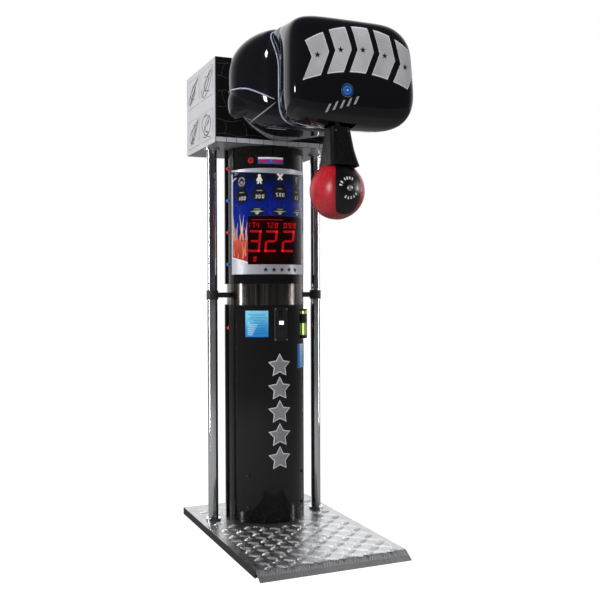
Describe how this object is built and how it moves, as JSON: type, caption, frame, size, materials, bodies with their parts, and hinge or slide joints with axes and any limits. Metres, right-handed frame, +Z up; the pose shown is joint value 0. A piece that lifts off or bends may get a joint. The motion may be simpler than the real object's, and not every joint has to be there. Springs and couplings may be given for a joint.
{
  "type": "boxing punch machine",
  "caption": "Free-standing punch machine: a swinging ball under a giant glove on a round column with score display, coin and note entries and two poles.",
  "frame": {"origin": "on the floor, under the middle of the overall box", "axes": "+Z up; the ball, start button and display face -Y; +X is the banknote side"},
  "size_m": [0.68, 1.2075, 2.272],
  "materials": {
    "black_paint": "satin",
    "tread_aluminium": "bright rolled, raised tread pattern",
    "rubber": "matte",
    "plain_steel": "zinc plated",
    "black_gloss": "high gloss",
    "stainless": "brushed",
    "chrome": "polished",
    "black_plastic": "fine textured",
    "black_oxide": "black oxide",
    "button_red": "translucent gloss",
    "button_blue": "lit, translucent gloss",
    "label_blue": "printed film",
    "silver_film": "satin film",
    "display_print": "printed behind clear acrylic",
    "smoked_window": "smoked red acrylic",
    "circuit_board": "solder mask",
    "digit_red": "lit",
    "lamp_red": "lit lens",
    "lamp_blue": "lit lens",
    "box_silver": "silver lacquer with engraved lines",
    "glove_black": "high gloss lacquer on moulded shell",
    "red_leather": "semi gloss",
    "black_leather": "semi gloss"
  },
  "bodies": {
    "stand": {"base_frame": "black_paint", "tread_plate": "tread_aluminium", "rubber_pads": "rubber", "ring_plates": "plain_steel", "chassis_posts": "plain_steel", "lower_front_shell": "black_gloss", "lower_rear_shell": "black_gloss", "steel_band": "stainless", "upper_front_shell": "black_gloss", "upper_rear_shell": "black_gloss", "door_hinges": "plain_steel", "cash_box": "plain_steel", "coin_mech": "black_plastic", "coin_plate": "black_plastic", "coin_slot_bezel": "chrome", "coin_plate_screws": "chrome", "info_plates": "label_blue", "bill_validator": "black_plastic", "column_bolts": "black_oxide", "silver_stars": "silver_film", "display_panel": "display_print", "score_window": "smoked_window", "score_board": "circuit_board", "score_digits": "digit_red", "display_trims": "silver_film", "header_tag": "label_blue", "button_bezels": "chrome", "lamps_red": "lamp_red", "lamps_blue": "lamp_blue", "left_pole": "chrome", "right_pole": "chrome", "pole_flanges": "chrome", "pole_clamps": "black_paint", "box_shell": "box_silver", "box_front_panel": "black_gloss", "box_back_panel": "box_silver", "mains_inlet": "black_plastic", "control_board": "circuit_board", "power_supply": "plain_steel", "glove_hand": "glove_black", "glove_cuff": "glove_black", "glove_thumb": "glove_black", "boom": "plain_steel", "hinge_bracket": "plain_steel", "hinge_bearings": "chrome", "latch_solenoid": "black_oxide", "stop_bumper": "rubber"},
    "ball_arm": {"hinge_axle": "chrome", "swing_arm": "plain_steel", "ball": "red_leather", "ball_plug": "chrome", "sleeve": "black_leather", "sleeve_rivets": "chrome"},
    "start_cap": {"start_button": "button_blue"},
    "select_cap": {"select_button": "button_red"},
    "reject_cap": {"coin_reject_button": "button_red"},
    "return_flap": {"coin_return_flap": "black_plastic"},
    "rear_door": {"service_door": "black_gloss"},
    "lock_barrel": {"door_lock": "chrome"},
    "latch_plunger": {"latch_pin": "chrome"}
  },
  "joints": [
    {"name": "ball_swing", "type": "hinge", "parent": "stand", "child": "ball_arm", "pos_m": [0, -0.491, 1.85], "axis": [1, 0, 0], "range_deg": [0, 55]},
    {"name": "start_press", "type": "slide", "parent": "stand", "child": "start_cap", "axis": [0, 1, 0], "range_m": [0, 0.004], "stiffness_N_per_m": 400},
    {"name": "select_press", "type": "slide", "parent": "stand", "child": "select_cap", "axis": [0.6521, 0.7581, 0], "range_m": [0, 0.004], "stiffness_N_per_m": 400},
    {"name": "reject_press", "type": "slide", "parent": "stand", "child": "reject_cap", "axis": [-0.0262, 0.9997, 0], "range_m": [0, 0.005], "stiffness_N_per_m": 300},
    {"name": "return_flap_lift", "type": "hinge", "parent": "stand", "child": "return_flap", "pos_m": [0.00505, 0.13057, 0.948], "axis": [-0.9997, -0.0262, 0], "range_deg": [0, 70]},
    {"name": "rear_door_swing", "type": "hinge", "parent": "stand", "child": "rear_door", "pos_m": [0.1259, 0.48465, 0.225], "axis": [0, 0, -1], "range_deg": [0, 100]},
    {"name": "door_lock_turn", "type": "hinge", "parent": "rear_door", "child": "lock_barrel", "pos_m": [-0.10545, 0.49226, 0.485], "axis": [-0.5299, 0.848, 0], "range_deg": [0, 90]},
    {"name": "latch_pin_slide", "type": "slide", "parent": "stand", "child": "latch_plunger", "axis": [1, 0, 0], "range_m": [0, 0.024], "stiffness_N_per_m": 120}
  ]
}
